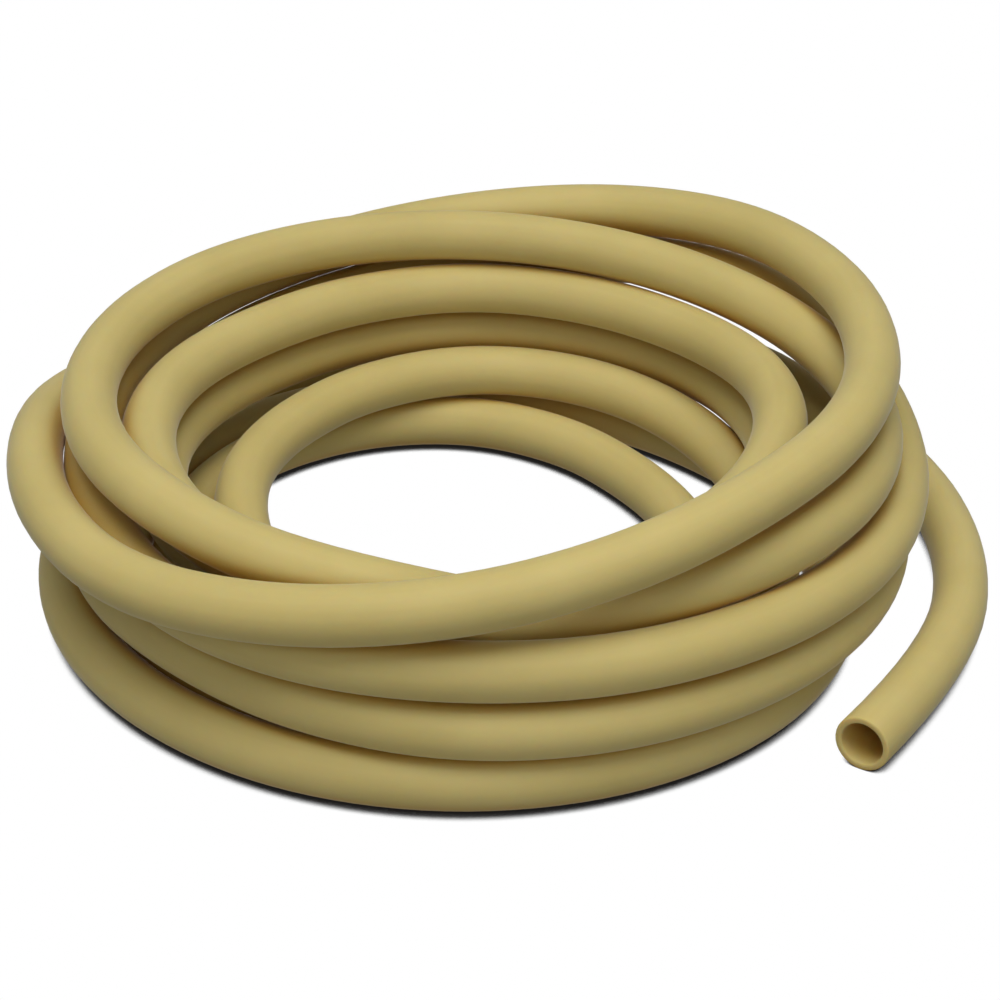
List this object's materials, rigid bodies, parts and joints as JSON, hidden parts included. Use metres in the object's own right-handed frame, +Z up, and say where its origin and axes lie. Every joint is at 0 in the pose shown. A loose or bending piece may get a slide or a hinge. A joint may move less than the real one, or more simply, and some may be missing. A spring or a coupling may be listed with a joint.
{
  "type": "rubber tubing coil",
  "caption": "Loose coil of bare, thin-walled rubber laboratory tubing lying flat, with an open end clear of the coil that pushes onto a glass tube or fitting.",
  "frame": {"origin": "bottom centre of the bounding box, on the bench that the coil lies on", "axes": "+Z up, -Y towards the front, +X towards the side with the open end"},
  "size_m": [0.2346, 0.2358, 0.0685],
  "materials": {
    "natural_rubber": "matte, smooth"
  },
  "bodies": {
    "root": {"rubber_tubing": "natural_rubber"}
  },
  "joints": []
}
